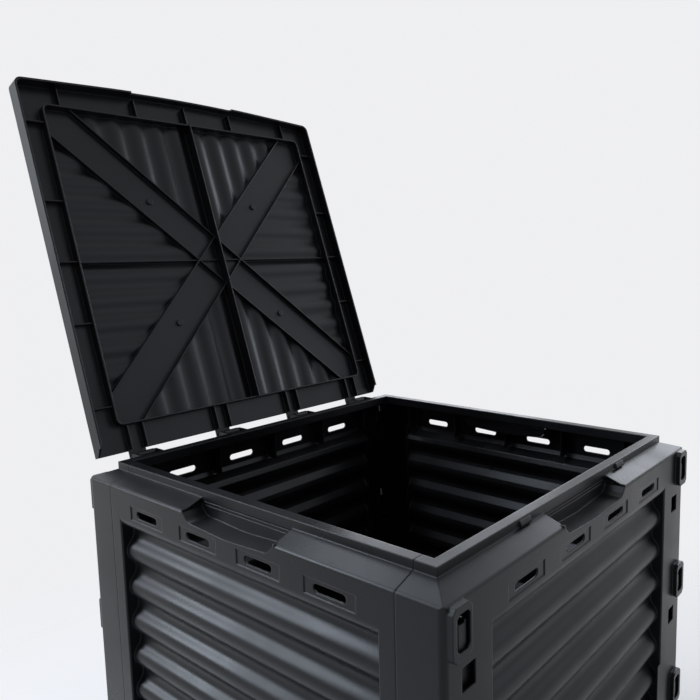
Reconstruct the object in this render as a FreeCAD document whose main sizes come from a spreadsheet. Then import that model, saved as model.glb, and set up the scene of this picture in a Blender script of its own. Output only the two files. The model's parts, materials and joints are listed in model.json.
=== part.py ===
import FreeCAD
import Part
import Sketcher
import math
import os

# A square garden compost bin of moulded polypropylene, in millimetres.
# Four wall panels snap together at the corners, a ribbed lid clips onto pins on the back rim,
# and a door at the foot of the front panel slides up for the finished compost.
# Origin: on the ground under the middle of the front wall's foot. +Z up, front at -Y, lid hinge
# at +Y. Each piece is drawn round the middle of the bin, and all stand back from the origin.
# The lid stands open against its stops, as in the photograph.

DRIVING_SIZES = [
    ("front_reach", 295, "origin under the front foot back to the middle of the bin"),
    ("body_half", 305, "middle of the bin to the outer face of a wall"),
    ("rim_half", 277.4, "middle of the bin to the outer face of the rim"),
    ("rim_width", 13.7, "width of the folded rim"),
    ("rim_top", 815, "height of the rim above the ground"),
    ("rim_rise", 10, "rim above the inner edge of the shoulder"),
    ("rim_fold", 14, "height of the rim's inner lip"),
    ("shoulder_drop", 9.9, "fall of the shoulder from the rim to the wall"),
    ("skin", 3, "wall thickness of the mouldings"),
    ("band_drop", 60, "rim down to the start of the waves"),
    ("first_valley_drop", 85, "rim down to the first hollow of the waves"),
    ("last_valley", 85, "height of the last hollow above the ground"),
    ("foot_band", 60, "height of the plain band at the foot"),
    ("foot_flange", 20, "depth of the flange that stands on the ground"),
    ("field_half", 228, "half width of the waved field"),
    ("crest_depth", 6.5, "wall face in to a crest"),
    ("valley_depth", 17.5, "wall face in to a hollow"),
    ("wave_count", 13, "waves between the first and the last hollow"),
    ("seam", 250, "middle of a wall to the seam near its end"),
    ("seam_gap", 0.5, "open seam between two panels"),
    ("corner_round", 7, "radius of the upright corners"),
    ("edge_round", 4, "radius where the shoulder turns into the wall"),
    ("vent_length", 46, "vent slot, along the wall"),
    ("vent_height", 9.5, "vent slot, upright"),
    ("vent_drop", 47.8, "rim down to the middle of the vents"),
    ("vent_step", 109.7, "spacing of the vents"),
    ("rib_thick", 2.5, "stiffening ribs inside the band"),
    ("rib_depth", 24, "ribs, wall face inwards"),
    ("scoop_half", 82, "half length of a finger scoop"),
    ("scoop_depth", 15, "scoop below the edge of the shoulder"),
    ("scoop_round", 14, "radius at the ends of a scoop"),
    ("flute_half", 36, "half width of the shallow flute round a vent"),
    ("flute_depth", 1, "depth of the flutes"),
    ("tab_place", 124, "middle of the front rim to the middle of a tab"),
    ("tab_half", 11, "half length of a rim tab"),
    ("boss_near", 271.5, "hook housing, side nearer the middle of the wall"),
    ("boss_far", 301, "hook housing, side nearer the corner"),
    ("boss_proud", 7, "hook housing, out from the wall face"),
    ("boss_height", 52, "hook housing, upright"),
    ("boss_wall", 2.5, "wall of the hook housing"),
    ("boss_count", 5, "hook housings in one column"),
    ("boss_step", 176, "spacing of the hook housings"),
    ("catch_near", 257.5, "catch hole, side nearer the middle of the wall"),
    ("catch_far", 279, "catch hole, side nearer the corner"),
    ("catch_height", 24, "catch hole, upright"),
    ("catch_drop", 86, "rim down to the top of the catch hole"),
    ("fit", 0.3, "clearance between fitted panels"),
    ("hinge_back", 301.2, "middle of the bin back to the lid's hinge axis"),
    ("hinge_drop", 7.7, "rim down to the hinge axis"),
    ("pin_radius", 4, "lid hinge pin"),
    ("pin_fit", 0.05, "clearance round a hinge pin in its cheeks"),
    ("clip_fit", 0.2, "running clearance of a clip round its pin"),
    ("station_count", 4, "lid hinges"),
    ("station_step", 149, "spacing of the lid hinges"),
    ("clip_half", 13, "half width of a lid hinge clip"),
    ("heel", 10, "hinge axis to the heel that stops the open lid"),
    ("cheek_inner", 15, "middle of a hinge to the inner side of a cheek"),
    ("cheek_thick", 3, "thickness of a hinge cheek"),
    ("cheek_eye", 6.5, "hinge axis to the edge of a cheek"),
    ("lid_half", 285, "middle of the lid to its outer edge"),
    ("lid_open", 109, "opening angle of the lid at its stops"),
    ("deck_rise", 11, "rim up to the underside of the closed lid"),
    ("skirt_drop", 8.5, "rim down to the lower edge of the closed lid"),
    ("lid_back_edge", 11.7, "hinge axis to the back edge of the lid"),
    ("lid_front_bow", 15, "height of the triangle that the curved front edge is drawn in"),
    ("frame_half", 251, "middle of the lid to its inner frame rib"),
    ("frame_drop", 14, "depth of the inner frame rib"),
    ("strap_half", 30, "half width of the diagonal straps"),
    ("lid_rib", 2, "thickness of the lid's ribs"),
    ("strap_rib_drop", 8, "depth of the ribs beside the straps"),
    ("lid_wave_field", 249, "middle of the lid to the outer end of its waves"),
    ("lid_wave_count", 13, "waves across the lid"),
    ("lid_skin", 2.5, "thickness of the lid's waved sheet"),
    ("lid_wave_height", 1.9, "height of the lid's waves above their mean"),
    ("grip_half", 100, "half length of the grip at the lid's front"),
    ("lid_corner", 12, "radius of the lid's corners"),
    ("boss_place", 105, "middle of the lid to a strap boss, each way"),
    ("strap_boss", 5, "radius of a strap boss"),
    ("door_half", 226.8, "half width of the harvest door"),
    ("door_sill", 3.3, "ground up to the door's lower edge"),
    ("door_height", 258, "height of the harvest door"),
    ("door_thick", 2.8, "thickness of the harvest door"),
    ("opening_half", 210, "half width of the opening behind the door"),
    ("opening_low", 14, "ground up to the sill of the opening"),
    ("opening_high", 238, "ground up to the top of the opening"),
    ("guide_lip", 9, "width of the lips that hold the door"),
    ("guide_top", 480, "height of the lips that hold the door"),
]

document = FreeCAD.newDocument("compost_bin")
sheet = document.addObject("Spreadsheet::Sheet", "Sizes")
for row, (alias, amount, meaning) in enumerate(DRIVING_SIZES, 1):
    sheet.set(f"A{row}", meaning)
    sheet.set(f"B{row}", str(amount))
    sheet.setAlias(f"B{row}", alias)
document.recompute()


class Size:
    """A length with its value now and the expression that ties it to the sheet."""

    def __init__(self, value, text):
        self.value = value
        self.text = text

    def __add__(self, other):
        other = as_size(other)
        return Size(self.value + other.value, f"({self.text} + {other.text})")

    def __radd__(self, other):
        return as_size(other) + self

    def __sub__(self, other):
        other = as_size(other)
        return Size(self.value - other.value, f"({self.text} - {other.text})")

    def __rsub__(self, other):
        return as_size(other) - self

    def __mul__(self, factor):
        return Size(self.value * factor, f"({self.text} * {factor})")

    __rmul__ = __mul__

    def __truediv__(self, factor):
        return Size(self.value / factor, f"({self.text} / {factor})")

    def __neg__(self):
        return Size(-self.value, f"(0 - {self.text})")


def as_size(number):
    return number if isinstance(number, Size) else Size(float(number), f"({float(number)})")


def size(alias):
    return Size(float(sheet.get(alias)), f"Sizes.{alias}")


body_half = size("body_half")
rim_half = size("rim_half")
rim_top = size("rim_top")
skin = size("skin")
seam = size("seam")
field_half = size("field_half")
fit = size("fit")
face_inside = body_half - skin
shoulder_inner = rim_top - size("rim_rise")
shoulder_outer = shoulder_inner - size("shoulder_drop")
band_low = rim_top - size("band_drop")
first_valley = rim_top - size("first_valley_drop")
last_valley = size("last_valley")
foot_band = size("foot_band")
wave_step = (first_valley - last_valley) / size("wave_count").value
hinge_back = size("hinge_back")
hinge_height = rim_top - size("hinge_drop")
station_step = size("station_step")
first_station = station_step * -1.5


def put(feature, name, amount):
    """Ties a property of a feature to the sheet."""
    feature.setExpression(name, as_size(amount).text)


def new_body(label):
    body = document.addObject("PartDesign::Body", label)
    body.Label = label
    return body


def new_sketch(body, role, offset=0):
    """A sketch on one of the body's own planes, moved out along the plane's normal.

    XY_Plane looks up, YZ_Plane looks along +X, and XZ_Plane looks along -Y.
    """
    plane = next(feature for feature in body.Origin.OriginFeatures if feature.Role == role)
    sketch = body.newObject("Sketcher::SketchObject", "Sketch")
    sketch.AttachmentSupport = [(plane, "")]
    sketch.MapMode = "FlatFace"
    offset = as_size(offset)
    sketch.AttachmentOffset = FreeCAD.Placement(FreeCAD.Vector(0, 0, offset.value), FreeCAD.Rotation())
    put(sketch, "AttachmentOffset.Base.z", offset)
    return sketch


def rounded(corners):
    """Turns corners (x, y) or (x, y, radius) into points, each with the arc that leads on from it.

    The result is a list of (x, y, radius or None, turn) in order round the outline.
    """
    result = []
    count = len(corners)
    for index, corner in enumerate(corners):
        x, y = as_size(corner[0]), as_size(corner[1])
        if len(corner) == 2:
            result.append((x, y, None, 0))
            continue
        radius = as_size(corner[2])
        before = corners[index - 1]
        after = corners[(index + 1) % count]
        here = FreeCAD.Vector(x.value, y.value, 0)
        to_before = FreeCAD.Vector(as_size(before[0]).value, as_size(before[1]).value, 0) - here
        to_after = FreeCAD.Vector(as_size(after[0]).value, as_size(after[1]).value, 0) - here
        half = to_before.getAngle(to_after) / 2
        back = radius / math.tan(half)
        to_before.normalize()
        to_after.normalize()
        turn = 1 if to_after.cross(to_before).z > 0 else -1
        result.append((x + back * to_before.x, y + back * to_before.y, radius, turn))
        result.append((x + back * to_after.x, y + back * to_after.y, None, 0))
    return result


def arc_centre(start, end, radius, turn):
    """Centre of an arc between two points, and the direction across its chord."""
    chord = end - start
    reach = math.sqrt(max(radius ** 2 - chord.Length ** 2 / 4, 0))
    across = FreeCAD.Vector(-chord.y, chord.x, 0).normalize()
    return (start + end) / 2 + across * reach * turn, across


def in_flats(points, flats):
    """The same outline with each of its small arcs cut as a few flats."""
    result = []
    for index, (x, y, radius, turn) in enumerate(points):
        result.append((x, y, None, 0))
        if radius is None:
            continue
        next_x, next_y = points[(index + 1) % len(points)][:2]
        start = FreeCAD.Vector(as_size(x).value, as_size(y).value, 0)
        end = FreeCAD.Vector(as_size(next_x).value, as_size(next_y).value, 0)
        centre, _ = arc_centre(start, end, as_size(radius).value, turn)
        spoke = start - centre
        sweep = math.degrees(spoke.getAngle(end - centre)) * turn
        for step in range(1, flats):
            turned_spoke = FreeCAD.Rotation(FreeCAD.Vector(0, 0, 1), sweep * step / flats).multVec(spoke)
            shift = turned_spoke - spoke
            result.append((x + round(shift.x, 4), y + round(shift.y, 4), None, 0))
    return result


def draw(sketch, points, closed=True):
    """Draws lines and arcs through the points and ties each point to the sheet.

    A point is (x, y, radius, turn): its radius is that of the arc to the next point,
    and turn is 1 for an arc that runs anticlockwise.
    """
    first = sketch.GeometryCount
    count = len(points)
    last = count if closed else count - 1
    shapes = []
    ends = []
    for index in range(last):
        x, y, radius, turn = points[index]
        next_x, next_y = points[(index + 1) % count][:2]
        start = FreeCAD.Vector(as_size(x).value, as_size(y).value, 0)
        end = FreeCAD.Vector(as_size(next_x).value, as_size(next_y).value, 0)
        if radius is None:
            shapes.append(Part.LineSegment(start, end))
            ends.append((first + index, 1, 2))
            continue
        centre, across = arc_centre(start, end, as_size(radius).value, turn)
        middle = centre - across * as_size(radius).value * turn
        shapes.append(Part.Arc(start, middle, end))
        # an arc is kept anticlockwise, so the ends of a clockwise one change places
        ends.append((first + index, 1, 2) if turn > 0 else (first + index, 2, 1))
    sketch.addGeometry(shapes, False)

    joins = []
    ties = []
    for index, (geometry, begin, finish) in enumerate(ends):
        x, y, radius, turn = points[index]
        ties.append(("DistanceX", (-1, 1, geometry, begin), as_size(x)))
        ties.append(("DistanceY", (-1, 1, geometry, begin), as_size(y)))
        if radius is not None:
            ties.append(("Radius", (geometry,), as_size(radius)))
        if closed or index + 1 < last:
            other, other_begin, _ = ends[(index + 1) % last]
            joins.append(Sketcher.Constraint("Coincident", geometry, finish, other, other_begin))
    if not closed:
        geometry, _, finish = ends[-1]
        x, y = points[-1][:2]
        ties.append(("DistanceX", (-1, 1, geometry, finish), as_size(x)))
        ties.append(("DistanceY", (-1, 1, geometry, finish), as_size(y)))
    sketch.addConstraint(joins)
    places = sketch.addConstraint([Sketcher.Constraint(kind, *spot, amount.value)
                                   for kind, spot, amount in ties])
    for place, (_, _, amount) in zip(places, ties):
        sketch.setExpression(f"Constraints[{place}]", amount.text)


def outline(sketch, corners, flats=None):
    points = rounded(corners)
    draw(sketch, in_flats(points, flats) if flats else points)


def rectangle(sketch, x_low, x_high, y_low, y_high, radius=None, flats=None):
    corners = [(x_low, y_low), (x_high, y_low), (x_high, y_high), (x_low, y_high)]
    if radius is not None:
        corners = [corner + (radius,) for corner in corners]
    outline(sketch, corners, flats)


def flat_sided_hole(sketch, x, y, radius, count):
    """A hole with flat sides that just clears a round pin of the radius."""
    reach = as_size(radius) / math.cos(math.pi / count)
    corners = []
    for step in range(count):
        angle = 2 * math.pi * (step + 0.5) / count
        corners.append((x + reach * round(math.cos(angle), 6), y + reach * round(math.sin(angle), 6)))
    outline(sketch, corners)


def both_sides(sketch, corners, flats=None):
    """The outline and its mirror image across the sketch's upright axis."""
    outline(sketch, corners, flats)
    outline(sketch, [(-as_size(corner[0]),) + tuple(corner[1:]) for corner in reversed(corners)], flats)


def extrude(kind, body, sketch, length, middle=False, reverse=False):
    feature = body.newObject(f"PartDesign::{kind}", kind)
    feature.Profile = sketch
    feature.SideType = "Symmetric" if middle else "One side"
    feature.Reversed = reverse
    feature.Length = as_size(length).value
    feature.Refine = False
    put(feature, "Length", length)
    return feature


def pad(body, sketch, length, middle=False, reverse=False):
    return extrude("Pad", body, sketch, length, middle, reverse)


def pocket(body, sketch, length, middle=False, reverse=False):
    return extrude("Pocket", body, sketch, length, middle, reverse)


def pattern(body, features, axis, length, count):
    """Repeats features along an axis of the body, count in all over the length."""
    line = next(feature for feature in body.Origin.OriginFeatures if feature.Role == axis)
    repeat = body.newObject("PartDesign::LinearPattern", "LinearPattern")
    repeat.Originals = features
    repeat.Direction = (line, [""])
    length = as_size(length)
    repeat.Reversed = length.value < 0
    repeat.Length = abs(length.value)
    put(repeat, "Length", length if length.value > 0 else -length)
    repeat.Occurrences = int(as_size(count).value)
    put(repeat, "Occurrences", count)
    body.Tip = repeat
    return repeat


def s_curve(start, end):
    """Two equal arcs that lead from one extreme of a wave to the next, upright at both ends.

    Each extreme is (depth, height). Returns the radius and the point where the arcs meet.
    """
    half_y = (end[0] - start[0]) / 2
    half_z = (end[1] - start[1]) / 2
    radius = (half_y.value ** 2 + half_z.value ** 2) / (2 * abs(half_y.value))
    return radius, (start[0] + half_y, start[1] + half_z)


def turned(degrees):
    """Placement of a wall that was drawn at the front and stands at another side."""
    return FreeCAD.Placement(FreeCAD.Vector(), FreeCAD.Rotation(FreeCAD.Vector(0, 0, 1), degrees))


def wave_sheet(sketch, start, end, thick, lying=False):
    """Closed outline of a sheet that follows one s-curve between two extremes.

    The waves climb the sketch's upright axis, or run along its level axis when lying is set.
    Its further side, behind a wall or on top of the lid, is cut in flats.
    """
    start = (as_size(start[0]), as_size(start[1]))
    end = (as_size(end[0]), as_size(end[1]))
    radius, middle = s_curve(start, end)
    rising = 1 if (end[0] - start[0]).value > 0 else -1
    climb = 1 if (end[1] - start[1]).value > 0 else -1
    turn = -rising * climb
    half = as_size(thick) / 2
    # direction across the sheet at the middle of the curve
    slope = math.acos(1 - abs((end[0] - start[0]).value) / 2 / radius)
    side_y = math.cos(slope)
    side_z = -math.sin(slope) * rising * climb
    outer = [
        (start[0] - half, start[1], radius - half.value * turn * climb, turn),
        (middle[0] - half * side_y, middle[1] - half * side_z, radius + half.value * turn * climb, -turn),
        (end[0] - half, end[1], None, 0),
    ]
    inner = [
        (end[0] + half, end[1], radius - half.value * turn * climb, turn),
        (middle[0] + half * side_y, middle[1] + half * side_z, radius + half.value * turn * climb, -turn),
        (start[0] + half, start[1], None, 0),
    ]
    points = outer + inner
    if lying:
        points = [(y, x, radius, -turn) for x, y, radius, turn in points]
    draw(sketch, points[:3] + in_flats(points, 2)[5:])


def add_waves(body, foot_face, width):
    """The waved field, from the foot band up to the plain band under the rim."""
    crest = -(body_half - size("crest_depth")) + skin / 2
    valley = -(body_half - size("valley_depth")) + skin / 2
    plain = -body_half + skin / 2
    spans = [
        ((-foot_face + skin / 2, foot_band), (valley, last_valley)),
        ((valley, first_valley), (plain, band_low)),
    ]
    for start, end in spans:
        curve = new_sketch(body, "YZ_Plane")
        wave_sheet(curve, start, end, skin)
        pad(body, curve, width * 2, middle=True)
    halves = []
    for start, end in [
        ((valley, last_valley), (crest, last_valley + wave_step / 2)),
        ((crest, last_valley + wave_step / 2), (valley, last_valley + wave_step)),
    ]:
        curve = new_sketch(body, "YZ_Plane")
        wave_sheet(curve, start, end, skin)
        halves.append(pad(body, curve, width * 2, middle=True))
    count = size("wave_count")
    pattern(body, halves, "Z_Axis", wave_step * (count.value - 1), count)


def add_foot(body, foot_face):
    """A plain band with a flange that stands on the ground; foot_face may stand back from the wall."""
    flange = body_half - size("foot_flange")
    sketch = new_sketch(body, "YZ_Plane")
    corners = [
        (-flange, 0),
        (-flange, skin),
        (-foot_face + skin, skin),
        (-foot_face + skin, foot_band),
        (-foot_face, foot_band),
    ]
    if foot_face.value < body_half.value:
        corners += [(-foot_face, skin), (-body_half, skin)]
    outline(sketch, corners + [(-body_half, 0)])
    pad(body, sketch, field_half * 2 + 2, middle=True)


def rim_profile(sketch):
    """Folded rim, shoulder and plain band, as one thin section."""
    inner = rim_half - size("rim_width")
    under = shoulder_inner - skin - 0.1
    corners = [
        (-inner, rim_top),
        (-rim_half, rim_top),
        (-rim_half, shoulder_inner),
        (-body_half, shoulder_outer, size("edge_round")),
        (-body_half, band_low),
        (-face_inside, band_low),
        (-face_inside, shoulder_outer - skin * 0.78),
        (-rim_half + skin, under + 0.8),
        (-rim_half + skin, rim_top - skin),
        (-inner - skin, rim_top - skin),
        (-inner - skin, rim_top - size("rim_fold")),
        (-inner, rim_top - size("rim_fold")),
    ]
    outline(sketch, corners)


def add_vents(body):
    """Four slots with round ends in the plain band, each in the middle of a shallow flute."""
    sketch = new_sketch(body, "XZ_Plane", body_half + 1)
    flutes = new_sketch(body, "XZ_Plane", body_half + 1)
    middle = rim_top - size("vent_drop")
    half_height = size("vent_height") / 2
    half_length = size("vent_length") / 2
    flute = size("flute_half")
    for place in (-1.5, -0.5, 0.5, 1.5):
        centre = size("vent_step") * place
        rectangle(sketch, centre - half_length, centre + half_length,
                  middle - half_height, middle + half_height, half_height * 0.9, flats=2)
        rectangle(flutes, centre - flute, centre + flute, band_low + 3, shoulder_outer - 19)
    pocket(body, flutes, size("flute_depth") + 1)
    pocket(body, sketch, skin + 4)


def add_bay_ribs(body, count, length):
    """Upright ribs inside the band that hold up the shoulder between the vents."""
    sketch = new_sketch(body, "YZ_Plane", -length / 2)
    outline(sketch, [
        (-face_inside - 0.5, band_low - 4),
        (-body_half + size("rib_depth"), band_low - 4),
        (-body_half + size("rib_depth"), shoulder_inner - skin - 5),
        (-face_inside - 0.5, shoulder_outer - skin),
    ])
    rib = pad(body, sketch, size("rib_thick"), middle=True)
    pattern(body, [rib], "X_Axis", length, count)


def scoop_corners(spare):
    """Front view of a finger scoop, larger all round by the spare."""
    half = size("scoop_half") + spare
    low = shoulder_outer - size("scoop_depth") - spare
    return [
        (-half, shoulder_outer - 1),
        (-half + 10, low + 4, size("scoop_round")),
        (0, low, 200),
        (half - 10, low + 4, size("scoop_round")),
        (half, shoulder_outer - 1),
        (half, rim_top - 2 - spare * 1.2),
        (-half, rim_top - 2 - spare * 1.2),
    ]


def add_scoop(body):
    """A finger scoop sunk in the shoulder, so that a hand gets under the lid."""
    shell = new_sketch(body, "XZ_Plane", rim_half - 4)
    low = scoop_corners(skin)[:5]
    half = size("scoop_half") + skin
    outline(shell, low + [(half, shoulder_outer + 2), (-half, shoulder_outer + 2)])
    pad(body, shell, body_half - rim_half + 4)
    hollow = new_sketch(body, "XZ_Plane", body_half + 10)
    outline(hollow, scoop_corners(as_size(0)))
    pocket(body, hollow, body_half - rim_half + 10)


def add_stiles(body, corners):
    """Upright edges of a panel, from a plan drawn at the left and mirrored."""
    sketch = new_sketch(body, "XY_Plane")
    both_sides(sketch, corners)
    pad(body, sketch, band_low + 1)


def field_return():
    """Plan of the wall between the panel's edge and its sunken field."""
    deep = body_half - size("valley_depth") - skin - 1
    return [
        (-field_half, -body_half, 2),
        (-field_half, -deep),
        (-field_half - size("rib_thick"), -deep),
        (-field_half - size("rib_thick"), -face_inside),
    ]


def make_end_panel(label, foot_face):
    """Front or back wall: it wraps round both corners and carries the hook housings."""
    body = new_body(label)
    add_foot(body, foot_face)
    add_waves(body, foot_face, field_half + 1)

    path = new_sketch(body, "XY_Plane")
    draw(path, [
        (-body_half, -seam, None, 0),
        (-body_half, -body_half, None, 0),
        (body_half, -body_half, None, 0),
        (body_half, -seam, None, 0),
    ], closed=False)
    section = new_sketch(body, "XZ_Plane", seam)
    rim_profile(section)
    rim = body.newObject("PartDesign::AdditivePipe", "AdditivePipe")
    rim.Profile = section
    rim.Spine = (path, ["Edge1", "Edge2", "Edge3"])
    rim.Transition = "Right corner"
    rim.Refine = False

    add_stiles(body, [
        (-body_half, -seam),
        (-body_half, -body_half, size("corner_round")),
    ] + field_return() + [
        (-face_inside, -face_inside, 2),
        (-face_inside, -seam),
    ])
    round_band_corners(body)
    add_bay_ribs(body, 5, size("vent_step") * 4)
    add_vents(body)
    add_hook_housings(body)
    return body


def round_band_corners(body):
    """Takes the sharp edge off the corners of the band and the shoulder."""
    plan = new_sketch(body, "XY_Plane", rim_top)
    edge = body_half
    radius = size("corner_round")
    clear = 2
    both_sides_points = [
        (-edge - clear, -edge + radius, None, 0),
        (-edge - clear, -edge - clear, None, 0),
        (-edge + radius, -edge - clear, None, 0),
        (-edge + radius, -edge, radius, -1),
        (-edge, -edge + radius, None, 0),
    ]
    draw(plan, both_sides_points)
    draw(plan, [(-x, y, None, 0) for x, y, _, _ in both_sides_points[:3]]
         + [(edge - radius, -edge, radius, 1), (edge, -edge + radius, None, 0)])
    pocket(body, plan, size("band_drop") + 4)


def make_front_panel():
    """Front wall with a finger scoop, and the opening and guides of the harvest door."""
    crest_face = body_half - size("crest_depth")
    body = make_end_panel("front_panel", crest_face)
    add_scoop(body)
    add_rim_tabs(body)
    opening = new_sketch(body, "XZ_Plane", body_half)
    half = size("opening_half")
    rectangle(opening, -half, half, size("opening_low"), size("opening_high"), 6)
    pocket(body, opening, 30)
    lips = new_sketch(body, "XZ_Plane", body_half - 2)
    both_sides(lips, [
        (-field_half - 3, 0),
        (-field_half + size("guide_lip"), 0),
        (-field_half + size("guide_lip"), size("guide_top"), 3),
        (-field_half - 3, size("guide_top")),
    ])
    pad(body, lips, 2)
    return body


def add_rim_tabs(body):
    """Two small tabs on the outside of the front rim, which the lid snaps over."""
    sketch = new_sketch(body, "YZ_Plane", -size("tab_place"))
    outline(sketch, [
        (-rim_half + 0.5, rim_top - 9),
        (-rim_half + 0.5, rim_top - 1.5),
        (-rim_half - 1.5, rim_top - 3),
        (-rim_half - 3, rim_top - 6),
        (-rim_half - 3, rim_top - 9),
    ])
    tab = pad(body, sketch, size("tab_half") * 2, middle=True)
    pattern(body, [tab], "X_Axis", size("tab_place") * 2, 2)


def make_back_panel():
    """Back wall, which carries the pins of the lid's hinges between pairs of cheeks."""
    body = make_end_panel("back_panel", body_half)
    for side in (-1, 1):
        inner = size("cheek_inner") * side
        cheek = new_sketch(body, "YZ_Plane", first_station + inner)
        axis = -hinge_back
        eye = size("cheek_eye")
        outline(cheek, [
            (-rim_half + 1, shoulder_inner - 1.5),
            (-rim_half + 1, hinge_height + eye),
            (axis - eye, hinge_height + eye, 6),
            (axis - eye, shoulder_outer + 1, 1.5),
            (-body_half + 1.5, shoulder_outer - 2),
        ], flats=3)
        plate = pad(body, cheek, size("cheek_thick"), reverse=side < 0)
        pattern(body, [plate], "X_Axis", station_step * 3, size("station_count"))
    bore = new_sketch(body, "YZ_Plane", first_station - 25)
    flat_sided_hole(bore, -hinge_back, hinge_height, size("pin_radius") + size("pin_fit"), 12)
    pocket(body, bore, station_step * 3 + 50, reverse=True)
    body.Placement = turned(180)
    return body


def add_hook_housings(body):
    """A column of lipped housings near each corner, each with a catch hole below it."""
    near = size("boss_near")
    far = size("boss_far")
    wall = size("boss_wall")
    top = shoulder_outer
    low = top - size("boss_height")
    proud = body_half + size("boss_proud")

    block = new_sketch(body, "XZ_Plane", face_inside)
    both_sides(block, [(-far, low, 5), (-near, low, 5), (-near, top - 1, 5), (-far, top - 1, 5)], flats=1)
    boss = pad(body, block, proud - face_inside)

    hollow = new_sketch(body, "XZ_Plane", face_inside - 2)
    both_sides(hollow, [
        (-far + wall, low + wall),
        (-near - wall, low + wall),
        (-near - wall, top - wall * 2),
        (-far + wall, top - wall * 2),
    ])
    cavity = pocket(body, hollow, proud - face_inside + 2 - wall, reverse=True)

    mouth = new_sketch(body, "XZ_Plane", proud + 1)
    both_sides(mouth, [
        (-far + 6, low + 8, 4),
        (-near - 3.5, low + 8, 4),
        (-near - 3.5, top - 8, 4),
        (-far + 6, top - 8, 4),
    ], flats=1)
    opening = pocket(body, mouth, wall + 2)
    count = size("boss_count")
    step = size("boss_step")
    pattern(body, [boss, cavity, opening], "Z_Axis", -step * (count.value - 1), count)

    catch_top = rim_top - size("catch_drop")
    square = new_sketch(body, "XZ_Plane", body_half + 1)
    both_sides(square, [
        (-size("catch_far"), catch_top - size("catch_height")),
        (-size("catch_near"), catch_top - size("catch_height")),
        (-size("catch_near"), catch_top),
        (-size("catch_far"), catch_top),
    ])
    catch = pocket(body, square, skin + 4)
    pattern(body, [catch], "Z_Axis", -step * (count.value - 2), count - 1)


def make_side_panel(label, foot_face, turn):
    """Left or right wall: its ends tuck behind the end panels and hook through them."""
    body = new_body(label)
    edge = seam - size("seam_gap")
    add_foot(body, foot_face)
    add_waves(body, foot_face, field_half + 1)
    section = new_sketch(body, "YZ_Plane")
    rim_profile(section)
    pad(body, section, edge * 2, middle=True)

    tuck = face_inside - fit
    flange = size("rib_thick")
    add_stiles(body, [(-edge, -body_half)] + field_return() + [
        (-edge + 4, -face_inside),
        (-edge + 4, -tuck + flange),
        (-tuck + flange, -tuck + flange),
        (-tuck + flange, -tuck + 12),
        (-tuck, -tuck + 12),
        (-tuck, -tuck, 2),
        (-edge, -tuck),
    ])
    upper = new_sketch(body, "XY_Plane", band_low)
    both_sides(upper, [
        (-edge + 4, -face_inside),
        (-edge + 4, -tuck + flange),
        (-tuck + flange, -tuck + flange),
        (-tuck + flange, -tuck + 12),
        (-tuck, -tuck + 12),
        (-tuck, -tuck, 2),
        (-edge, -tuck),
        (-edge, -face_inside),
    ])
    pad(body, upper, shoulder_outer - band_low - 6)
    add_bay_ribs(body, 5, size("vent_step") * 4)
    add_vents(body)
    add_scoop(body)
    add_hooks(body)
    add_catch_ribs(body)
    body.Placement = turned(turn)
    return body


def add_catch_ribs(body):
    """Short ribs on the tucked flange that close the catch holes of the end panels from behind."""
    tuck = face_inside - fit
    behind = tuck - 3.5
    low = rim_top - size("catch_drop") - size("catch_height") - 8
    sketch = new_sketch(body, "XY_Plane", low)
    both_sides(sketch, [
        (-behind, -tuck + 1),
        (-behind, -size("catch_near") + 6),
        (-behind + size("rib_thick"), -size("catch_near") + 6),
        (-behind + size("rib_thick"), -tuck + 1),
    ])
    rib = pad(body, sketch, size("catch_height") + 16)
    count = size("boss_count") - 1
    pattern(body, [rib], "Z_Axis", -size("boss_step") * (count.value - 1), count)


def add_hooks(body):
    """Hooks on the tucked flange that pass into the housings of the end panels."""
    tuck = face_inside - fit
    flange = size("rib_thick")
    head_out = body_half + size("boss_proud") - size("boss_wall") - 0.5
    low = shoulder_outer - size("boss_height")
    reach = size("boss_near") + 6
    neck = new_sketch(body, "XY_Plane", low + 12)
    both_sides(neck, [
        (-tuck, -tuck + 8),
        (-tuck + flange, -tuck + 8),
        (-tuck + flange, -reach),
        (-head_out, -reach),
        (-head_out, -reach - flange),
        (-tuck, -reach - flange),
    ])
    tongue = pad(body, neck, 22)
    plate = new_sketch(body, "XY_Plane", low + size("boss_wall") + 1)
    both_sides(plate, [
        (-head_out, -reach - 12),
        (-head_out + flange, -reach - 12),
        (-head_out + flange, -reach),
        (-head_out, -reach),
    ])
    head = pad(body, plate, 28)
    count = size("boss_count")
    pattern(body, [tongue, head], "Z_Axis", -size("boss_step") * (count.value - 1), count)


def make_lid():
    """Ribbed lid, drawn closed and then swung open about its hinge pins."""
    frame = make_lid_frame()
    side_waves = make_lid_waves("lid_waves_left_and_right")
    front_waves = make_lid_waves("lid_waves_front_and_back")
    front_waves.Placement = turned(90)
    lid = document.addObject("Part::MultiFuse", "lid")
    lid.Label = "lid"
    lid.Shapes = [frame, side_waves, front_waves]
    lid.Refine = True
    axis = FreeCAD.Vector(0, hinge_back.value, hinge_height.value)
    swing = FreeCAD.Rotation(FreeCAD.Vector(1, 0, 0), -size("lid_open").value)
    lid.Placement = FreeCAD.Placement(FreeCAD.Vector(), swing, axis)
    return lid


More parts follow.
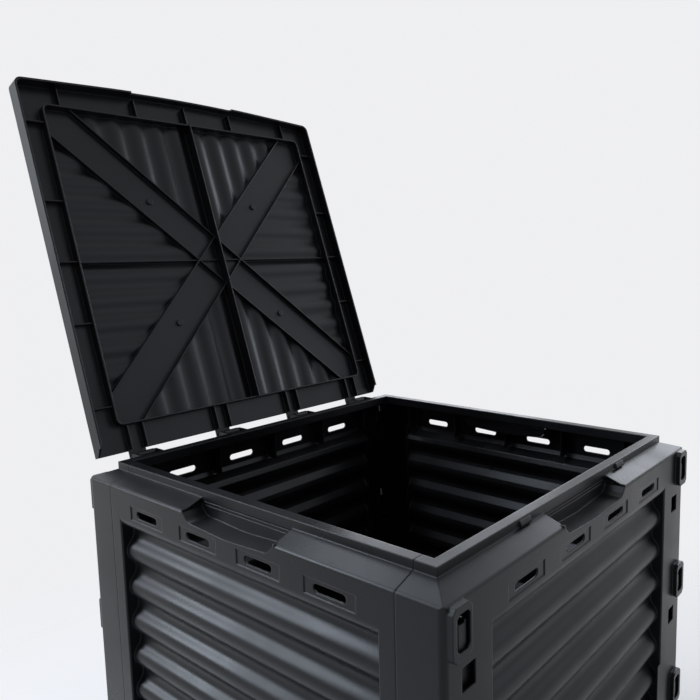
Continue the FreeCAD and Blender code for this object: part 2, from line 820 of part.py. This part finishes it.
def make_lid_waves(label):
    """Waves of the left and right sectors; the ridges run from left to right."""
    body = new_body(label)
    middle = deck_low + skin / 2
    crest = middle + size("lid_wave_height")
    hollow = middle - size("lid_wave_height")
    step = wave_field * 2 / size("lid_wave_count").value
    halves = []
    for start, end in [((hollow, -wave_field), (crest, -wave_field + step / 2)),
                       ((crest, -wave_field + step / 2), (hollow, -wave_field + step))]:
        curve = new_sketch(body, "YZ_Plane")
        wave_sheet(curve, start, end, size("lid_skin"), lying=True)
        halves.append(pad(body, curve, wave_field * 2, middle=True))
    pattern(body, halves, "Y_Axis", wave_field * 2 - step, size("lid_wave_count"))
    cutter = new_sketch(body, "XY_Plane", deck_low + 20)
    far = wave_field + 10
    strap = size("strap_half") * math.sqrt(2)
    outline(cutter, [
        (-far, -far), (far, -far), (far, -far + strap), (strap, 0),
        (far, far - strap), (far, far), (-far, far), (-far, far - strap),
        (-strap, 0), (-far, -far + strap),
    ])
    pocket(body, cutter, 40)
    return body


def lid_plan(out, back, radius):
    """Plan of the lid's edge with its slightly curved front."""
    bow = size("lid_front_bow")
    return [(-out, back), (-out, -out, radius), (0, -out - bow, 3000), (out, -out, radius), (out, back)]


def make_lid_frame():
    """Deck, skirt, frame rib, straps and hinge clips of the lid."""
    body = new_body("lid_frame")
    half = size("lid_half")
    inner = half - skin
    back = hinge_back - size("lid_back_edge")
    deck_top = deck_low + skin
    corner = size("lid_corner")
    plate = new_sketch(body, "XY_Plane", deck_low)
    outline(plate, lid_plan(half, back, corner))
    pad(body, plate, skin)

    windows = new_sketch(body, "XY_Plane", deck_top + 1)
    strap = size("strap_half") * math.sqrt(2)
    sector = [(-wave_field + strap, -wave_field), (wave_field - strap, -wave_field), (0, -strap)]
    for _ in range(4):
        outline(windows, sector)
        sector = [(-as_size(y), x) for x, y in sector]
    pocket(body, windows, skin + 2)

    low = rim_top - size("skirt_drop")
    skirt = new_sketch(body, "XY_Plane", low)
    outline(skirt, lid_plan(half, back, corner) + list(reversed(lid_plan(inner, back, corner - skin))))
    pad(body, skirt, size("skirt_drop") + size("deck_rise") + 1)
    grip = new_sketch(body, "XZ_Plane", half + size("lid_front_bow"))
    rectangle(grip, -size("grip_half"), size("grip_half"), low - 5, low + 5, 3, flats=2)
    pocket(body, grip, skin + size("lid_front_bow") + 2)
    ends = new_sketch(body, "YZ_Plane")
    outline(ends, [
        (back + 1, low - 1), (back + 1, deck_low - 5), (rim_half, low + 4), (rim_half, low - 1),
    ])
    pocket(body, ends, half * 2 + 10, middle=True)

    edge = size("frame_half")
    rib = size("rib_thick")
    ring = new_sketch(body, "XY_Plane", deck_low - size("frame_drop"))
    rectangle(ring, -edge, edge, -edge, edge, 10, flats=3)
    rectangle(ring, -edge + rib, edge - rib, -edge + rib, edge - rib, 7.5, flats=3)
    pad(body, ring, size("frame_drop") + skin + bead)

    add_channel_ribs(body, edge - 1, inner + 1, back)
    add_strap_ribs(body)
    add_strap_bosses(body)
    add_cross_ribs(body, edge - 1)
    add_hinge_clips(body, deck_top)
    return body


def add_channel_ribs(body, start, end, back):
    """Short ribs across the channel that the rim sits in; the lid rests on them."""
    low = rim_top + 0.5
    thin = size("lid_rib") / 2
    across = new_sketch(body, "XY_Plane", low)
    for place in (-221, -95, 0, 95, 221):
        rectangle(across, place - thin, place + thin, -end - 1, -start)
        rectangle(across, -end, -start, place - thin, place + thin)
        rectangle(across, start, end, place - thin, place + thin)
    for station in (-1.5, -0.5, 0.5, 1.5):
        for side in (-1, 1):
            centre = station_step * station + (size("clip_half") - 1) * side
            rectangle(across, centre - thin, centre + thin, start, back)
    pad(body, across, deck_low - low + 1)


def add_strap_ribs(body):
    """Ribs along both sides of each diagonal strap, which cross round the middle of the lid."""
    edge = size("frame_half") - 1
    offset = size("strap_half") * math.sqrt(2)
    thin = size("lid_rib") / math.sqrt(2)
    depth = size("strap_rib_drop")
    for lean in (1, -1):
        sketch = new_sketch(body, "XY_Plane", deck_low - depth)
        for side in (-1, 1):
            first = -edge if side < 0 else -edge + offset
            last = edge - offset if side < 0 else edge
            corners = [
                (first + thin, first - offset * side),
                (last + thin, last - offset * side),
                (last - thin, last - offset * side),
                (first - thin, first - offset * side),
            ]
            outline(sketch, [(as_size(x) * lean, y) for x, y in corners])
        pad(body, sketch, depth + skin + bead)


def add_strap_bosses(body):
    """Small round bosses under the straps, halfway along each arm."""
    sketch = new_sketch(body, "XY_Plane", deck_low - 3)
    place = size("boss_place")
    radius = size("strap_boss")
    for x_side in (-1, 1):
        for y_side in (-1, 1):
            x = place * x_side
            y = place * y_side
            rectangle(sketch, x - radius, x + radius, y - radius, y + radius, radius * 0.6, flats=1)
    pad(body, sketch, 4)


def add_cross_ribs(body, edge):
    """A deep rib from front to back and a low one from left to right."""
    thin = size("lid_rib") / 2
    deep = new_sketch(body, "XY_Plane", deck_low - 18)
    rectangle(deep, -thin, thin, -edge, edge)
    pad(body, deep, 18 + skin + bead)
    shallow = new_sketch(body, "XY_Plane", deck_low - 6)
    rectangle(shallow, -edge, edge, -thin, thin)
    pad(body, shallow, 6 + skin + bead)


def add_hinge_clips(body, deck_top):
    """Snap clips round the hinge pins, on arms whose heels stop the open lid on the shoulder."""
    hole = size("pin_radius") + size("clip_fit")
    outer = hole + 3
    clip = new_sketch(body, "YZ_Plane", first_station)

    def on_ring(radius, degrees):
        angle = math.radians(degrees)
        return hinge_back + radius * math.cos(angle), hinge_height + radius * math.sin(angle)

    mouth, middle, end = -22, 120, 262
    draw(clip, in_flats([
        on_ring(outer, mouth) + (outer, 1),
        on_ring(outer, middle) + (outer, 1),
        on_ring(outer, end) + (None, 0),
        on_ring(hole, end) + (hole, -1),
        on_ring(hole, middle) + (hole, -1),
        on_ring(hole, mouth) + (None, 0),
    ], 6))
    ring = pad(body, clip, size("clip_half") * 2, middle=True)
    heel = size("heel")
    arm = new_sketch(body, "YZ_Plane", first_station)
    outline(arm, [
        (hinge_back - size("lid_back_edge") - 1, deck_low),
        (hinge_back + 2, deck_low),
        (hinge_back + 2, hinge_height + 6),
        (hinge_back + heel - 4, hinge_height + 3),
        (hinge_back + heel - 4, hinge_height - 3),
        (hinge_back + heel, hinge_height - 1),
        (hinge_back + heel, deck_top, 4),
        (hinge_back - size("lid_back_edge") - 1, deck_top),
    ], flats=2)
    lug = pad(body, arm, size("clip_half") * 2, middle=True)
    pattern(body, [ring, lug], "X_Axis", station_step * 3, size("station_count"))


def make_door():
    """Harvest door, a plate that slides up behind the guide lips of the front panel."""
    body = new_body("harvest_door")
    half = size("door_half")
    low = size("door_sill")
    high = low + size("door_height")
    back = body_half - 2 - fit - size("door_thick")
    plate = new_sketch(body, "XZ_Plane", back)
    rectangle(plate, -half, half, low, high, 4, flats=3)
    pad(body, plate, size("door_thick"))
    front = back + size("door_thick")
    beads = new_sketch(body, "XZ_Plane", front - 1)
    for place in (1, 2, 3):
        middle = low + size("door_height") * place / 4.6
        rectangle(beads, -half + 30, half - 30, middle - 5, middle + 5, 4, flats=2)
    pad(body, beads, 3)
    grip = new_sketch(body, "YZ_Plane")
    top = high - 14
    outline(grip, [
        (-front + 1, top), (-front - 14, top, 3), (-front - 14, top - 16), (-front - 11, top - 16),
        (-front - 11, top - 3), (-front + 1, top - 3),
    ])
    pad(body, grip, 120, middle=True)
    return body


def make_pin(number):
    """Hinge pin, seated in the two cheeks of one hinge."""
    pin = document.addObject("Part::Cylinder", f"lid_hinge_pin_{number}")
    pin.Label = f"lid_hinge_pin_{number}"
    length = (size("cheek_inner") + size("cheek_thick")) * 2
    put(pin, "Radius", size("pin_radius"))
    put(pin, "Height", length)
    middle = first_station + station_step * (number - 1)
    pin.Placement = FreeCAD.Placement(
        FreeCAD.Vector((middle - length / 2).value, hinge_back.value, hinge_height.value),
        FreeCAD.Rotation(FreeCAD.Vector(0, 1, 0), 90))
    return pin


deck_low = rim_top + size("deck_rise")
wave_field = size("lid_wave_field")
bead = size("lid_wave_height") - 0.1

sub_parts = [
    make_side_panel("left_panel", body_half, -90),
    make_side_panel("right_panel", body_half, 90),
    make_front_panel(),
    make_back_panel(),
    make_lid(),
    make_door(),
]
for number in range(1, int(size("station_count").value) + 1):
    sub_parts.append(make_pin(number))
for part in sub_parts:
    put(part, "Placement.Base.y", size("front_reach") + part.Placement.Base.y)

# faces that continue each other are joined once, on the finished body
for item in document.Objects:
    if item.TypeId == "PartDesign::Body":
        item.Tip.Refine = True
document.recompute()
for item in document.Objects:
    if "Invalid" in item.State or "Error" in item.State:
        raise RuntimeError(f"{item.Label} failed: {item.State} {item.getStatusString()}")
for part in sub_parts:
    if part.Shape.isNull() or not part.Shape.isValid():
        raise RuntimeError(f"{part.Label} has no valid shape")
os.makedirs("parts", exist_ok=True)
for part in sub_parts:
    shape = part.Shape
    shape.exportStep(f"parts/{part.Label}.step")
    box = shape.BoundBox
    print(f"{part.Label}: {len(shape.Solids)} solids, {shape.Volume / 1000:.0f} cm3, "
          f"x {box.XMin:.1f} to {box.XMax:.1f}, y {box.YMin:.1f} to {box.YMax:.1f}, "
          f"z {box.ZMin:.1f} to {box.ZMax:.1f}")
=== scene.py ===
# %% [markdown]
# # A square garden compost bin with its lid open
# The bin is a flat-pack moulding in black polypropylene: four wavy walls that snap together at
# the corners, a ribbed lid clipped to pins on the back rim and a sliding door at the foot.
# Every wall, rib and clip already comes as a solid of the engineering model, so this lesson is
# about making plain solids look like moulded plastic, and about picturing black on white.

# %% Load the model
import json
import math
import bmesh
import bpy
from mathutils import Matrix, Vector


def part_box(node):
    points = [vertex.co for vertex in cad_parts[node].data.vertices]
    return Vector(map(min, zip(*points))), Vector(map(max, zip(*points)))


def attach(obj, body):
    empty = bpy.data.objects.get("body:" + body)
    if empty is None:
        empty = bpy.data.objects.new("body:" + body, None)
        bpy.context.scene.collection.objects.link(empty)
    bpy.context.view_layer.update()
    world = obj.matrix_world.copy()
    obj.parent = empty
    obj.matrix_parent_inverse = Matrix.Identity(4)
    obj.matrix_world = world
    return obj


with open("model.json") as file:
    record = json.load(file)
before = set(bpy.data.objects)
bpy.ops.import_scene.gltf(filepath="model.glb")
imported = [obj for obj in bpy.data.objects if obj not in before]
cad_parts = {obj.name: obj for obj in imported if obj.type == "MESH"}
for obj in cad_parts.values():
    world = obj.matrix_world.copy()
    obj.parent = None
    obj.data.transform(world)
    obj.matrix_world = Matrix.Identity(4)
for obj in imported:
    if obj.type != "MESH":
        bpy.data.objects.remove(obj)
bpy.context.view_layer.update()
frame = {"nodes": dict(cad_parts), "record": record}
print("pieces:", ", ".join(sorted(frame["nodes"])))

# %% [markdown]
# ## Where things are
# All placing below starts from a few heights and widths read from the model itself. Measuring
# the pieces is safer than retyping their sizes, because the lights and the camera then stay
# right when a wall is redrawn.

# %% Read the main sizes
bin_low, bin_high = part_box("left_panel")
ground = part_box("front_panel")[0][2]
rim_top = bin_high[2]
rim_middle = Vector((0, (bin_low[1] + bin_high[1]) / 2, rim_top))
print(f"rim {rim_top:.3f} m above the ground, middle of the bin {rim_middle.y:.3f} m behind the origin")

# %% [markdown]
# ## A camera at the photograph's view
# The picture was taken from the front left corner, from a little above the rim, and the print
# is a crop: the middle of the lens is right of the picture's middle. A shifted lens gives the
# same crop without turning the camera, which would change the perspective. The place is
# measured from the middle of the rim, and the angles are in degrees.

# %% Camera
PICTURE = 700
SENSOR_WIDTH = 36
FOCAL_PIXELS = 701.0
LENS_CENTRE = (431.6, 336.3)
CAMERA_AZIMUTH = -52.03
CAMERA_TILT = 6.85
CAMERA_ROLL = -0.79
CAMERA_PLACE = rim_middle + Vector((-0.7517, -0.6449, 0.2812))


def look_from(azimuth, tilt, roll):
    """Rotation of a camera that looks back along the given direction."""
    turn = math.radians(azimuth)
    lift = math.radians(tilt)
    back = Vector((math.sin(turn) * math.cos(lift), -math.cos(turn) * math.cos(lift), math.sin(lift)))
    right = Vector((0, 0, 1)).cross(back).normalized()
    up = back.cross(right)
    basis = Matrix((right, up, back)).transposed()
    return basis.to_4x4() @ Matrix.Rotation(math.radians(roll), 4, "Z")


lens = bpy.data.cameras.new("camera")
lens.sensor_width = SENSOR_WIDTH
lens.sensor_fit = "HORIZONTAL"
lens.lens = SENSOR_WIDTH * FOCAL_PIXELS / PICTURE
lens.shift_x = (PICTURE / 2 - LENS_CENTRE[0]) / PICTURE
lens.shift_y = (LENS_CENTRE[1] - PICTURE / 2) / PICTURE
camera = bpy.data.objects.new("camera", lens)
bpy.context.collection.objects.link(camera)
camera.matrix_world = Matrix.Translation(CAMERA_PLACE) @ look_from(CAMERA_AZIMUTH, CAMERA_TILT, CAMERA_ROLL)
bpy.context.scene.camera = camera
print(f"lens {lens.lens:.1f} mm, shift {lens.shift_x:.3f}, {lens.shift_y:.3f}")

# %% [markdown]
# ## Shader sums as ordinary expressions
# A node tree with thirty Math nodes is hard to read. A small class that wraps a socket and
# answers to +, - and * lets the same tree be written as a formula, and each operator adds the
# node that it needs. The reflected forms are there too, so that 1 - mask works.

# %% A socket that can do sums
class Wire:
    """An output socket of a node tree that can be used in sums."""

    def __init__(self, shader, socket):
        self.shader = shader
        self.socket = socket

    def math(self, operation, first, second):
        return self.shader.node("ShaderNodeMath", {"operation": operation}, {0: first, 1: second})

    def __add__(self, other):
        return self.math("ADD", self, other)

    def __radd__(self, other):
        return self.math("ADD", other, self)

    def __sub__(self, other):
        return self.math("SUBTRACT", self, other)

    def __rsub__(self, other):
        return self.math("SUBTRACT", other, self)

    def __mul__(self, other):
        return self.math("MULTIPLY", self, other)

    def __rmul__(self, other):
        return self.math("MULTIPLY", other, self)

    def larger(self, other):
        return self.math("MAXIMUM", self, other)

    def clamped(self):
        return self.shader.node("ShaderNodeClamp", {}, {0: self})


print("sockets can do sums")

# %% [markdown]
# ### One method for every other node
# A material and a world both hold a node tree. The class below clears it and adds any node
# from its type, its settings and what goes into its sockets, so that all trees of this file are
# built in the same way and each node takes one line.

# %% A node tree
class Shader:
    """The node tree of a material or a world, and the one method that adds any node to it."""

    def __init__(self, owner):
        self.owner = owner
        owner.use_nodes = True
        self.nodes = owner.node_tree.nodes
        self.links = owner.node_tree.links
        self.nodes.clear()

    def node(self, kind, settings, inputs, output=0):
        made = self.nodes.new(kind)
        for name, setting in settings.items():
            setattr(made, name, setting)
        for place, value in inputs.items():
            if isinstance(value, Wire):
                self.links.new(value.socket, made.inputs[place])
            else:
                made.inputs[place].default_value = value
        return Wire(self, made.outputs[output]) if made.outputs else None

    def mix(self, factor, first, second):
        """A colour that goes from first to second as the factor goes from 0 to 1."""
        return self.node("ShaderNodeMix", {"data_type": "RGBA"}, {0: factor, 6: first, 7: second}, 2)


def above(pattern, threshold, steepness):
    """How far a pattern is above a threshold: 0 below it, and rising to 1."""
    return ((pattern - threshold) * steepness).clamped()


print("node trees can be built")

# %% [markdown]
# ## Moulded polypropylene
# The plastic is black with a trace of blue. Its face copies the mould: a very fine grain, and
# broad patches of more or less gloss where the melt flowed. Handling leaves a little dust, thin
# rubbed streaks and slightly paler edges. So the colour stays nearly constant, and the life is
# in the roughness, with a very low bump. A Bevel node rounds the shaded edges by a millimetre
# or two, as any mould does, and comparing its normal with the true one finds the edges to wear.
#
# Noise scales are waves per metre, and grain and edge are metres. The thresholds and shares in
# the formulas were found beside the photograph. The specular level, and the blacks of the
# finishes below, are lower than the real plastic's, because reflections here see the pale
# wall.

# %% Plastic
FLOW_SCALE = 5.5
MOTTLE_SCALE = 38
SCUFF_SCALE = 60
SPECK_SCALE = 160
SPARK_SCALE = 1400
SCUFF_STRETCH = (1, 1, 0.12)
FLOW_LIFT = 1.35
COOL_SHEEN = (0.86, 0.93, 1, 1)
DUST_GREY = (0.16, 0.16, 0.155)


def moulded_plastic(name, colour, roughness, grain, edge):
    """Satin black plastic with the grain, the flow patches and the wear of a moulding."""
    make = Shader(bpy.data.materials.new(name))
    place = make.node("ShaderNodeTexCoord", {}, {}, "Object")

    def noise(where, scale, detail, harshness):
        inputs = {"Vector": where, "Scale": scale, "Detail": detail, "Roughness": harshness}
        return make.node("ShaderNodeTexNoise", {}, inputs)

    flow = noise(place, FLOW_SCALE, 3, 0.55)
    mottle = noise(place, MOTTLE_SCALE, 4, 0.6)
    spark = noise(place, SPARK_SCALE, 2, 0.6)
    specks = noise(place, SPECK_SCALE, 5, 0.7)
    upright = make.node("ShaderNodeMapping", {}, {"Vector": place, "Scale": SCUFF_STRETCH})
    scuffs = noise(upright, SCUFF_SCALE, 6, 0.65)
    dust = above(specks, 0.63, 9) * above(mottle, 0.42, 4)
    rubbed = above(scuffs, 0.6, 5)

    rounded = make.node("ShaderNodeBevel", {"samples": 6}, {"Radius": edge})
    facing = make.node("ShaderNodeNewGeometry", {}, {}, "Normal")
    flatness = make.node("ShaderNodeVectorMath", {"operation": "DOT_PRODUCT"},
                         {0: rounded, 1: facing}, "Value")
    edge_wear = ((1 - flatness) * 5).clamped() * above(scuffs, 0.35, 3)

    paler = tuple(channel * FLOW_LIFT for channel in colour)
    tint = make.mix(flow, colour + (1,), paler + (1,))
    tint = make.mix(dust * 0.07 + rubbed * 0.02 + edge_wear * 0.14, tint, DUST_GREY + (1,))
    patches = above(flow, 0.33, 2.8)
    gloss = (roughness - 0.1) + patches * 0.17 + scuffs * 0.05 + mottle * 0.06 + dust * 0.1
    surface = make.node("ShaderNodeBump", {}, {
        "Strength": 0.16, "Distance": grain, "Height": spark + mottle * 0.6, "Normal": rounded})
    shade = make.node("ShaderNodeBsdfPrincipled", {}, {
        "Base Color": tint, "Roughness": gloss, "Normal": surface,
        "Specular IOR Level": 0.24, "Specular Tint": COOL_SHEEN})
    make.node("ShaderNodeOutputMaterial", {}, {"Surface": shade})
    return make.owner


print("plastic recipe ready")

# %% [markdown]
# ### Three finishes
# The walls, the lid with the door, and the pins are the same plastic from different moulds. The
# lid is a shade darker and duller than the walls, and its ribs are thinner, so its edges are
# rounded less. Each node of the model says in the record which finish it takes.

# %% Finishes
BIN_BLACK = (0.0055, 0.006, 0.007)
LID_BLACK = (0.005, 0.0055, 0.0065)
PIN_BLACK = (0.005, 0.005, 0.0055)

finishes = {
    "bin_plastic": moulded_plastic("bin_plastic", BIN_BLACK, 0.3, 0.0003, 0.0022),
    "lid_plastic": moulded_plastic("lid_plastic", LID_BLACK, 0.31, 0.0003, 0.0015),
    "pin_plastic": moulded_plastic("pin_plastic", PIN_BLACK, 0.3, 0.0002, 0.0005),
}
slots = {part["node"]: part["material_slot"] for part in frame["record"]["subparts"]}
for node, piece in frame["nodes"].items():
    for material_slot in piece.material_slots:
        material_slot.material = finishes[slots[node]]
print("finishes:", ", ".join(finishes))

# %% [markdown]
# ## Small plates that keep the daylight out
# Black plastic in front of a white wall is unforgiving: any gap is a bright speck. Two gaps are
# left in the solids where the photograph shows none: above the hook heads in the back wall's
# housings, and behind each scoop, between the bowl and the rim's outer wall. They are covered
# here and not in the solids, and only as far as the photograph's view needs. Boxes with
# softened edges are enough for such hidden strips, and each set is one mesh.

# %% Plates
def small_plates(name, boxes, softening):
    """One mesh of small boxes, each given by its lowest and highest corner."""
    mesh = bpy.data.meshes.new(name)
    shape = bmesh.new()
    for low, high in boxes:
        corners = bmesh.ops.create_cube(shape, size=1)["verts"]
        spans = [high[axis] - low[axis] for axis in range(3)]
        middles = [(high[axis] + low[axis]) / 2 for axis in range(3)]
        bmesh.ops.scale(shape, vec=spans, verts=corners)
        bmesh.ops.translate(shape, vec=middles, verts=corners)
    bmesh.ops.bevel(shape, geom=shape.edges[:], offset=softening, segments=2, affect="EDGES")
    shape.to_mesh(mesh)
    shape.free()
    plates = bpy.data.objects.new(name, mesh)
    bpy.context.collection.objects.link(plates)
    mesh.materials.append(finishes["bin_plastic"])
    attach(plates, "bin")
    print(f"{name}: {len(boxes)} plates, {len(mesh.polygons)} faces")


print("plate maker ready")

# %% [markdown]
# ### Hook heads
# The housings stand in two columns of five on the back wall, a fixed step apart. The heads are
# the side walls' furthest points, so the side wall's own box says how deep the plates lie. Foot
# and top are measured up from the foot of a housing, and near and far from the bin's middle.

# %% Hook heads
HOUSING_FOOT_DROP = 0.0719
HOUSING_COUNT = 5
HOUSING_STEP = 0.176
HEAD_FOOT = 0.0315
HEAD_TOP = 0.0465
HEAD_NEAR = 0.276
HEAD_FAR = 0.2895
HEAD_THICK = 0.0025
HEAD_SOFTENING = 0.0004

head_boxes = []
for level in range(HOUSING_COUNT):
    foot = rim_top - HOUSING_FOOT_DROP - level * HOUSING_STEP
    for left_side in (-HEAD_FAR, HEAD_NEAR):
        head_boxes.append(((left_side, bin_high[1] - HEAD_THICK, foot + HEAD_FOOT),
                           (left_side + HEAD_FAR - HEAD_NEAR, bin_high[1], foot + HEAD_TOP)))
small_plates("hook_head_tops", head_boxes, HEAD_SOFTENING)

# %% [markdown]
# ### Scoop backs
# The front, left and right walls have a scoop under the lid's edge. Its back strip lies within
# the thickness of the rim's outer wall, a hair inside both faces, so that no two faces coincide.
# A hairline stays open above each strip, and a hole of about 5 by 10 mm under the shoulder at
# each end of a scoop. With the lid shut, a speck of daylight can show there from low down.

# %% Scoop backs
RIM_HALF = 0.2774
BACK_INSET = 0.0002
BACK_THICK = 0.0026
BACK_HALF_LENGTH = 0.0813
BACK_DROP_LOW = 0.0182
BACK_DROP_HIGH = 0.0137
BACK_SOFTENING = 0.0002

outside = RIM_HALF - BACK_INSET
inside = outside - BACK_THICK
strip_low = rim_top - BACK_DROP_LOW
strip_high = rim_top - BACK_DROP_HIGH
near_end = rim_middle.y - BACK_HALF_LENGTH
far_end = rim_middle.y + BACK_HALF_LENGTH
scoop_boxes = [
    ((-outside, near_end, strip_low), (-inside, far_end, strip_high)),
    ((inside, near_end, strip_low), (outside, far_end, strip_high)),
    ((-BACK_HALF_LENGTH, rim_middle.y - outside, strip_low),
     (BACK_HALF_LENGTH, rim_middle.y - inside, strip_high)),
]
small_plates("scoop_backs", scoop_boxes, BACK_SOFTENING)

# %% [markdown]
# ## A pale floor that fades into a white wall
# The photograph has no horizon: floor and wall run into one pale tone. A real studio does that
# with a curved sheet of paper. Here the floor is a round sheet that turns clear towards its rim,
# so that from every side the pale world takes over, while the sheet still catches the shadow.

# %% Floor
FLOOR_RADIUS = 1.9
FLOOR_SIDES = 64
FLOOR_DROP = 0.0005
FADE_START = 0.55
FADE_LENGTH = 1.3
PAPER = (0.78, 0.78, 0.785, 1)
PAPER_LIGHT = (0.83, 0.83, 0.84, 1)


def paper_material():
    """Matt paper that turns clear towards the rim of the sheet."""
    make = Shader(bpy.data.materials.new("floor"))
    place = make.node("ShaderNodeTexCoord", {}, {}, "Object")
    cloud = make.node("ShaderNodeTexNoise", {}, {"Vector": place, "Scale": 3, "Detail": 3})
    tint = make.mix(cloud, PAPER, PAPER_LIGHT)
    paper = make.node("ShaderNodeBsdfPrincipled", {}, {"Base Color": tint, "Roughness": 0.9})
    clear = make.node("ShaderNodeBsdfTransparent", {}, {})
    distance = make.node("ShaderNodeVectorMath", {"operation": "LENGTH"}, {0: place}, "Value")
    fade = above(distance, FADE_START, 1 / FADE_LENGTH)
    surface = make.node("ShaderNodeMixShader", {}, {0: fade, 1: paper, 2: clear})
    make.node("ShaderNodeOutputMaterial", {}, {"Surface": surface})
    return make.owner


angles = [math.tau * step / FLOOR_SIDES for step in range(FLOOR_SIDES)]
ring = [(FLOOR_RADIUS * math.cos(angle), FLOOR_RADIUS * math.sin(angle), 0) for angle in angles]
sheet = bpy.data.meshes.new("floor")
sheet.from_pydata(ring, [], [tuple(range(FLOOR_SIDES))])
sheet.materials.append(paper_material())
floor = bpy.data.objects.new("floor", sheet)
floor.location = (rim_middle.x, rim_middle.y, ground - FLOOR_DROP)
bpy.context.collection.objects.link(floor)
print(f"round floor, {FLOOR_RADIUS} m in radius, fading from {FADE_START} m outwards")

# %% [markdown]
# ## The pale wall
# The world is the wall behind the bin. The camera and the reflections see it almost white, but
# as a lamp it stays dim, because otherwise the black plastic would turn grey from every side.
# Light Path tells the two apart: camera, glossy and transmission rays get the pale colour.

# %% World
BACKGROUND = (0.86, 0.865, 0.88, 1)
WORLD_LIGHT = 0.16

room = Shader(bpy.data.worlds.new("studio"))
shown = room.node("ShaderNodeLightPath", {}, {}, "Is Camera Ray")
for ray in ("Is Glossy Ray", "Is Transmission Ray"):
    shown = shown.larger(room.node("ShaderNodeLightPath", {}, {}, ray))
glow = room.node("ShaderNodeBackground", {}, {"Color": (1, 1, 1, 1), "Strength": WORLD_LIGHT})
wall = room.node("ShaderNodeBackground", {}, {"Color": BACKGROUND})
seen = room.node("ShaderNodeMixShader", {}, {0: shown, 1: glow, 2: wall})
room.node("ShaderNodeOutputWorld", {}, {"Surface": seen})
bpy.context.scene.world = room.owner
bpy.context.scene.view_settings.view_transform = "Standard"
print("pale wall, and a world that lights at", WORLD_LIGHT)

# %% [markdown]
# ## Soft lights
# Black plastic has almost no colour of its own, so what is seen is the reflection of the room.
# A mirror sum at each face tells where a light has to stand. A tall window behind on the left
# draws the pale streaks on the left wall and on the waves inside, a skylight beside it catches
# the left shoulder, the ceiling behind lights the rims, and two lights on the right give the
# front wall and the lid their softer sheen. The room in front stays dim, as the dark lid shows.
#
# Each light faces the rim's middle, from which its place is measured. Its brightness is the
# radiance of its face, so that size and glow are set apart.
# The first brightnesses came from renders with one lamp each, weighed to match the photograph's
# brightness in a few places, and the final ones were set one by one.

# %% Lights
DAYLIGHT = (0.92, 0.965, 1.05)


def soft_light(name, place, width, height, brightness):
    """An area light that faces the rim's middle."""
    data = bpy.data.lights.new(name, "AREA")
    data.shape = "RECTANGLE"
    data.size = width
    data.size_y = height
    data.energy = brightness * math.pi * width * height
    data.color = DAYLIGHT
    lamp = bpy.data.objects.new(name, data)
    bpy.context.collection.objects.link(lamp)
    lamp.location = rim_middle + Vector(place)
    lamp.rotation_euler = Vector(place).to_track_quat("Z", "Y").to_euler()


soft_light("window_back_left", (-1.95, 1.95, 1.1), 0.85, 1.9, 10.8)
soft_light("skylight", (-1.5, 1.1, 2.4), 0.8, 0.8, 7.5)
soft_light("ceiling_back", (0.3, 2.0, 2.2), 2.6, 1.6, 2.9)
soft_light("wall_back_right", (2.2, 2.2, 0.9), 2.2, 1.6, 2.1)
soft_light("window_right", (3.0, 0.0, 1.1), 1.4, 1.8, 3.3)
soft_light("room_front_right", (2.0, -2.2, 1.4), 2.0, 1.8, 0.45)
